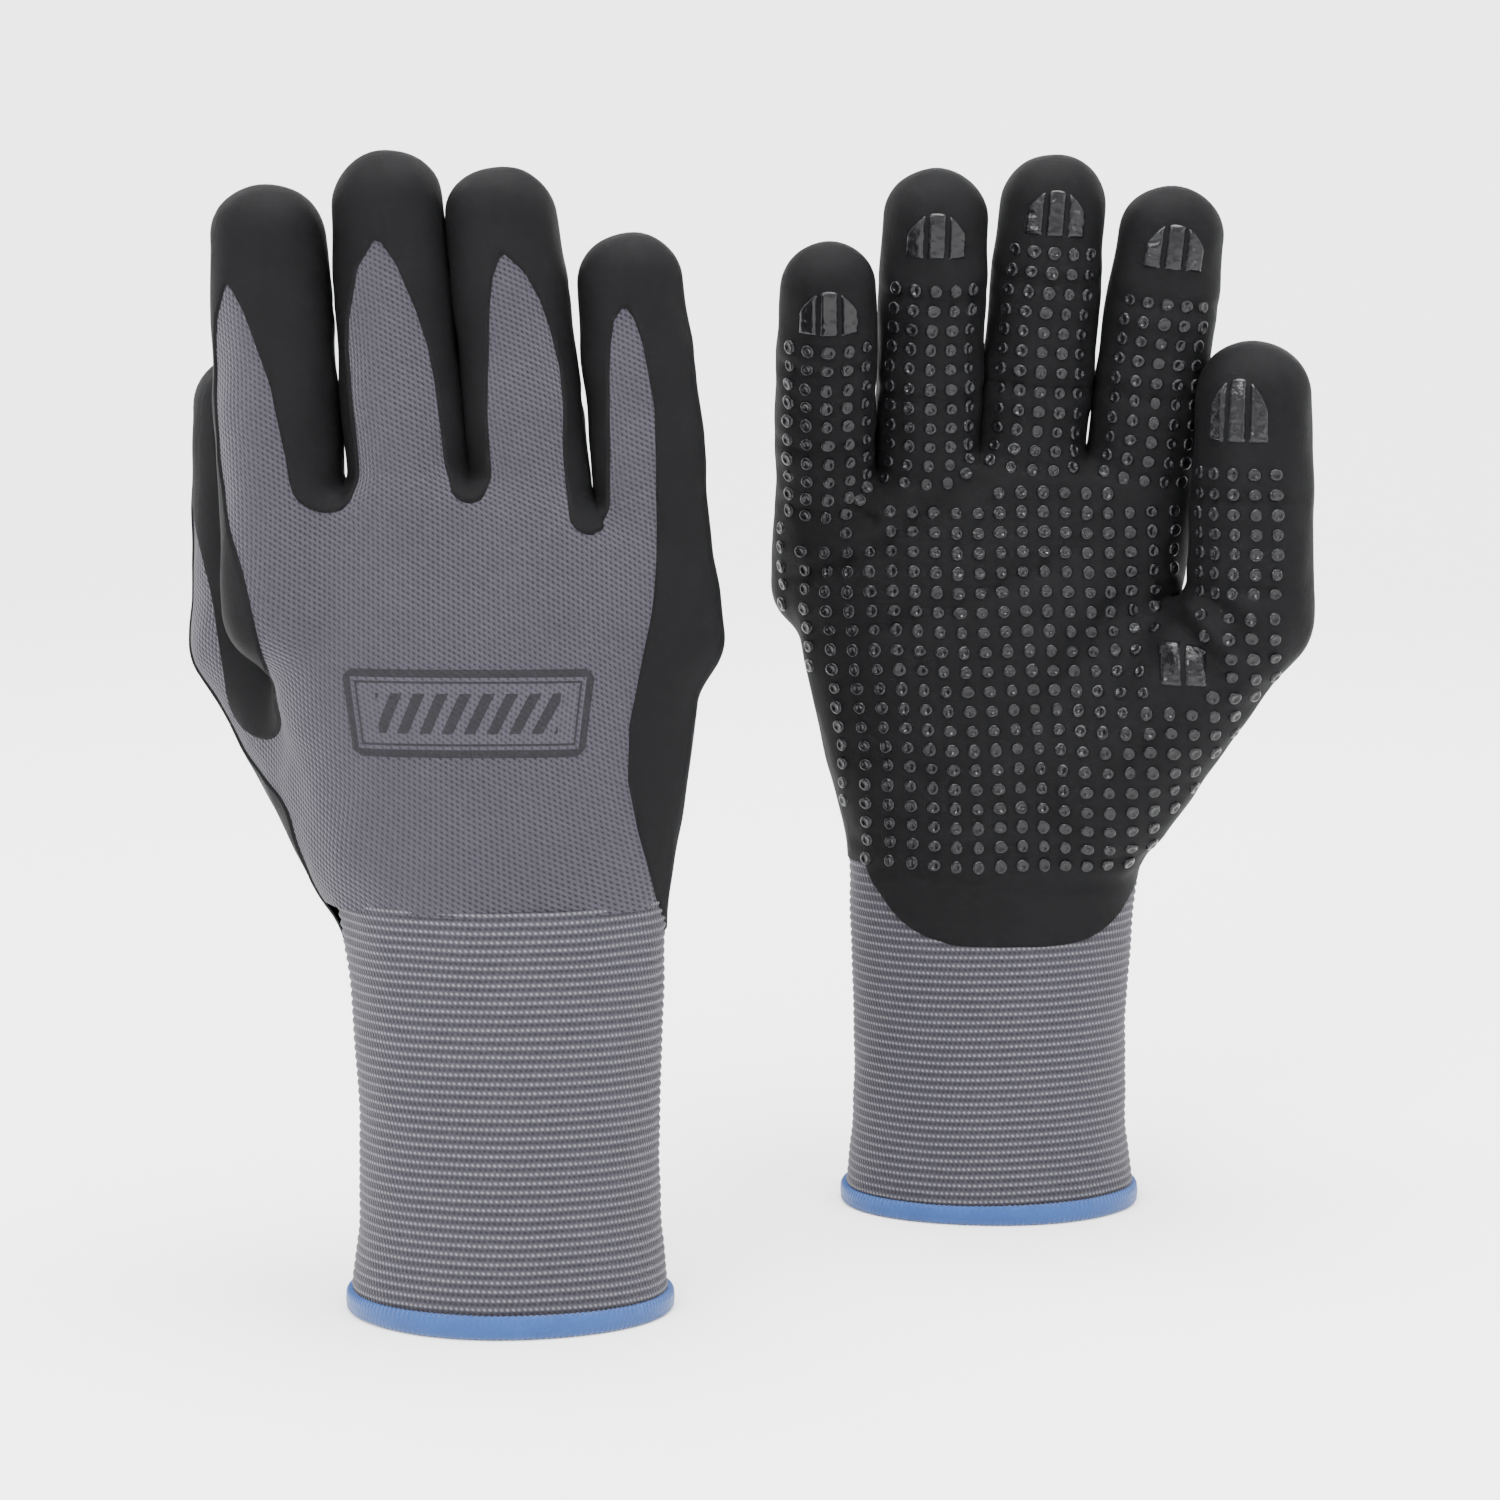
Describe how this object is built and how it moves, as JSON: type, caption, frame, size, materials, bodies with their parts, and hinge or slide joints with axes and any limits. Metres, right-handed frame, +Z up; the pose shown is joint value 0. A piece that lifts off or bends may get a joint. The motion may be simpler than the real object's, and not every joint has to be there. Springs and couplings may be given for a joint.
{
  "type": "work gloves",
  "caption": "Knitted work gloves with a foam-coated palm and fingers, raised grip print, ribbed cuff and overlocked hem.",
  "frame": {"origin": "centre of the front glove's wrist opening, at the foot of its hem", "axes": "+Z up along the fingers; the front glove's back faces -Y and its palm +Y; the rear glove's palm faces -Y; +X towards the rear glove"},
  "size_m": [0.2521, 0.133, 0.2497],
  "materials": {
    "liner_knit": "fine seamless knit",
    "cuff_knit": "ribbed elastic knit",
    "elastic": "covered elastic yarn",
    "hem_yarn": "overlock stitching",
    "nitrile_foam": "matte foam",
    "gloss_print": "gloss"
  },
  "bodies": {
    "glove1_cuff": {"glove1_cuff_knit": "cuff_knit", "glove1_wrist_coating": "nitrile_foam", "glove1_hem_overlock": "hem_yarn", "glove1_cuff_elastic": "elastic"},
    "glove1_hand": {"glove1_hand_liner": "liner_knit", "glove1_palm_coating": "nitrile_foam", "glove1_palm_grip_print": "gloss_print"},
    "glove1_index_mid": {"glove1_index_mid_liner": "liner_knit", "glove1_index_mid_coating": "nitrile_foam"},
    "glove1_index_tip": {"glove1_index_tip_liner": "liner_knit", "glove1_index_tip_coating": "nitrile_foam", "glove1_index_tip_patch": "gloss_print"},
    "glove1_middle_mid": {"glove1_middle_mid_liner": "liner_knit", "glove1_middle_mid_coating": "nitrile_foam"},
    "glove1_middle_tip": {"glove1_middle_tip_liner": "liner_knit", "glove1_middle_tip_coating": "nitrile_foam", "glove1_middle_tip_patch": "gloss_print"},
    "glove1_ring_mid": {"glove1_ring_mid_liner": "liner_knit", "glove1_ring_mid_coating": "nitrile_foam"},
    "glove1_ring_tip": {"glove1_ring_tip_liner": "liner_knit", "glove1_ring_tip_coating": "nitrile_foam", "glove1_ring_tip_patch": "gloss_print"},
    "glove1_little_mid": {"glove1_little_mid_liner": "liner_knit", "glove1_little_mid_coating": "nitrile_foam"},
    "glove1_little_tip": {"glove1_little_tip_liner": "liner_knit", "glove1_little_tip_coating": "nitrile_foam", "glove1_little_tip_patch": "gloss_print"},
    "glove1_thumb_tip": {"glove1_thumb_tip_liner": "liner_knit", "glove1_thumb_tip_coating": "nitrile_foam", "glove1_thumb_tip_patch": "gloss_print"},
    "glove2_cuff": {"glove2_cuff_knit": "cuff_knit", "glove2_wrist_coating": "nitrile_foam", "glove2_hem_overlock": "hem_yarn", "glove2_cuff_elastic": "elastic"},
    "glove2_hand": {"glove2_hand_liner": "liner_knit", "glove2_palm_coating": "nitrile_foam", "glove2_palm_grip_print": "gloss_print"},
    "glove2_index_mid": {"glove2_index_mid_liner": "liner_knit", "glove2_index_mid_coating": "nitrile_foam"},
    "glove2_index_tip": {"glove2_index_tip_liner": "liner_knit", "glove2_index_tip_coating": "nitrile_foam", "glove2_index_tip_patch": "gloss_print"},
    "glove2_middle_mid": {"glove2_middle_mid_liner": "liner_knit", "glove2_middle_mid_coating": "nitrile_foam"},
    "glove2_middle_tip": {"glove2_middle_tip_liner": "liner_knit", "glove2_middle_tip_coating": "nitrile_foam", "glove2_middle_tip_patch": "gloss_print"},
    "glove2_ring_mid": {"glove2_ring_mid_liner": "liner_knit", "glove2_ring_mid_coating": "nitrile_foam"},
    "glove2_ring_tip": {"glove2_ring_tip_liner": "liner_knit", "glove2_ring_tip_coating": "nitrile_foam", "glove2_ring_tip_patch": "gloss_print"},
    "glove2_little_mid": {"glove2_little_mid_liner": "liner_knit", "glove2_little_mid_coating": "nitrile_foam"},
    "glove2_little_tip": {"glove2_little_tip_liner": "liner_knit", "glove2_little_tip_coating": "nitrile_foam", "glove2_little_tip_patch": "gloss_print"},
    "glove2_thumb_tip": {"glove2_thumb_tip_liner": "liner_knit", "glove2_thumb_tip_coating": "nitrile_foam", "glove2_thumb_tip_patch": "gloss_print"}
  },
  "joints": [
    {"name": "glove1_wrist", "type": "hinge", "parent": "glove1_cuff", "child": "glove1_hand", "pos_m": [0, 0.0217, 0.087], "axis": [-1, 0, 0], "range_deg": [0, 45], "stiffness_Nm_per_rad": 0.3},
    {"name": "glove1_index_knuckle", "type": "hinge", "parent": "glove1_hand", "child": "glove1_index_mid", "pos_m": [-0.04754, 0.01323, 0.19511], "axis": [-0.999, 0, -0.0436], "range_deg": [0, 28], "stiffness_Nm_per_rad": 0.05},
    {"name": "glove1_index_end", "type": "hinge", "parent": "glove1_index_mid", "child": "glove1_index_tip", "pos_m": [-0.04845, 0.01423, 0.21607], "axis": [-0.999, 0, -0.0436], "range_deg": [0, 18.86], "stiffness_Nm_per_rad": 0.03},
    {"name": "glove1_middle_knuckle", "type": "hinge", "parent": "glove1_hand", "child": "glove1_middle_mid", "pos_m": [-0.02058, 0.01333, 0.19707], "axis": [-0.9973, 0, -0.0732], "range_deg": [0, 80], "stiffness_Nm_per_rad": 0.05},
    {"name": "glove1_middle_end", "type": "hinge", "parent": "glove1_middle_mid", "child": "glove1_middle_tip", "pos_m": [-0.02234, 0.01447, 0.22098], "axis": [-0.9973, 0, -0.0732], "range_deg": [0, 53.7], "stiffness_Nm_per_rad": 0.03},
    {"name": "glove1_ring_knuckle", "type": "hinge", "parent": "glove1_hand", "child": "glove1_ring_mid", "pos_m": [0.00452, 0.01317, 0.19598], "axis": [-0.9925, 0, -0.1219], "range_deg": [0, 80], "stiffness_Nm_per_rad": 0.05},
    {"name": "glove1_ring_end", "type": "hinge", "parent": "glove1_ring_mid", "child": "glove1_ring_tip", "pos_m": [0.00172, 0.01427, 0.21879], "axis": [-0.9925, 0, -0.1219], "range_deg": [0, 53.7], "stiffness_Nm_per_rad": 0.03},
    {"name": "glove1_little_knuckle", "type": "hinge", "parent": "glove1_hand", "child": "glove1_little_mid", "pos_m": [0.03053, 0.01199, 0.18613], "axis": [-0.9954, 0, -0.0958], "range_deg": [0, 80], "stiffness_Nm_per_rad": 0.05},
    {"name": "glove1_little_end", "type": "hinge", "parent": "glove1_little_mid", "child": "glove1_little_tip", "pos_m": [0.02871, 0.01289, 0.20502], "axis": [-0.9954, 0, -0.0958], "range_deg": [0, 53.7], "stiffness_Nm_per_rad": 0.03},
    {"name": "glove1_thumb_end", "type": "hinge", "parent": "glove1_hand", "child": "glove1_thumb_tip", "pos_m": [-0.04624, 0.03535, 0.17162], "axis": [-0.5732, 0.8192, 0.02], "range_deg": [0, 35], "stiffness_Nm_per_rad": 0.04},
    {"name": "glove2_wrist", "type": "hinge", "parent": "glove2_cuff", "child": "glove2_hand", "pos_m": [0.11, 0.0623, 0.087], "axis": [1, 0, 0], "range_deg": [0, 45], "stiffness_Nm_per_rad": 0.3},
    {"name": "glove2_index_knuckle", "type": "hinge", "parent": "glove2_hand", "child": "glove2_index_mid", "pos_m": [0.14567, 0.07011, 0.19455], "axis": [0.9945, 0, -0.1045], "range_deg": [0, 28], "stiffness_Nm_per_rad": 0.05},
    {"name": "glove2_index_end", "type": "hinge", "parent": "glove2_index_mid", "child": "glove2_index_tip", "pos_m": [0.14785, 0.06838, 0.21537], "axis": [0.9945, 0, -0.1045], "range_deg": [0, 18.86], "stiffness_Nm_per_rad": 0.03},
    {"name": "glove2_middle_knuckle", "type": "hinge", "parent": "glove2_hand", "child": "glove2_middle_mid", "pos_m": [0.11908, 0.07067, 0.19706], "axis": [0.9969, 0, -0.0785], "range_deg": [0, 80], "stiffness_Nm_per_rad": 0.05},
    {"name": "glove2_middle_end", "type": "hinge", "parent": "glove2_middle_mid", "child": "glove2_middle_tip", "pos_m": [0.12096, 0.06953, 0.22096], "axis": [0.9969, 0, -0.0785], "range_deg": [0, 53.7], "stiffness_Nm_per_rad": 0.03},
    {"name": "glove2_ring_knuckle", "type": "hinge", "parent": "glove2_hand", "child": "glove2_ring_mid", "pos_m": [0.0937, 0.06847, 0.19437], "axis": [0.9997, 0, -0.0262], "range_deg": [0, 80], "stiffness_Nm_per_rad": 0.05},
    {"name": "glove2_ring_end", "type": "hinge", "parent": "glove2_ring_mid", "child": "glove2_ring_tip", "pos_m": [0.09429, 0.06458, 0.21703], "axis": [0.9997, 0, -0.0262], "range_deg": [0, 53.7], "stiffness_Nm_per_rad": 0.03},
    {"name": "glove2_little_knuckle", "type": "hinge", "parent": "glove2_hand", "child": "glove2_little_mid", "pos_m": [0.07014, 0.06801, 0.18227], "axis": [1, 0, 0], "range_deg": [0, 80], "stiffness_Nm_per_rad": 0.05},
    {"name": "glove2_little_end", "type": "hinge", "parent": "glove2_little_mid", "child": "glove2_little_tip", "pos_m": [0.07014, 0.06191, 0.20027], "axis": [1, 0, 0], "range_deg": [0, 53.7], "stiffness_Nm_per_rad": 0.03},
    {"name": "glove2_thumb_end", "type": "hinge", "parent": "glove2_hand", "child": "glove2_thumb_tip", "pos_m": [0.16278, 0.05738, 0.172], "axis": [0.9063, -0.4226, 0], "range_deg": [0, 60], "stiffness_Nm_per_rad": 0.04},
    {"name": "glove2_lift", "type": "slide", "parent": "glove1_cuff", "child": "glove2_cuff", "axis": [0, 0, 1], "range_m": [0, 0.12]}
  ],
  "couplings": [
    {"joint": "glove1_index_end", "follows": "glove1_index_knuckle", "ratio": 0.67},
    {"joint": "glove1_middle_end", "follows": "glove1_middle_knuckle", "ratio": 0.67},
    {"joint": "glove1_ring_end", "follows": "glove1_ring_knuckle", "ratio": 0.67},
    {"joint": "glove1_little_end", "follows": "glove1_little_knuckle", "ratio": 0.67},
    {"joint": "glove2_index_end", "follows": "glove2_index_knuckle", "ratio": 0.67},
    {"joint": "glove2_middle_end", "follows": "glove2_middle_knuckle", "ratio": 0.67},
    {"joint": "glove2_ring_end", "follows": "glove2_ring_knuckle", "ratio": 0.67},
    {"joint": "glove2_little_end", "follows": "glove2_little_knuckle", "ratio": 0.67}
  ]
}
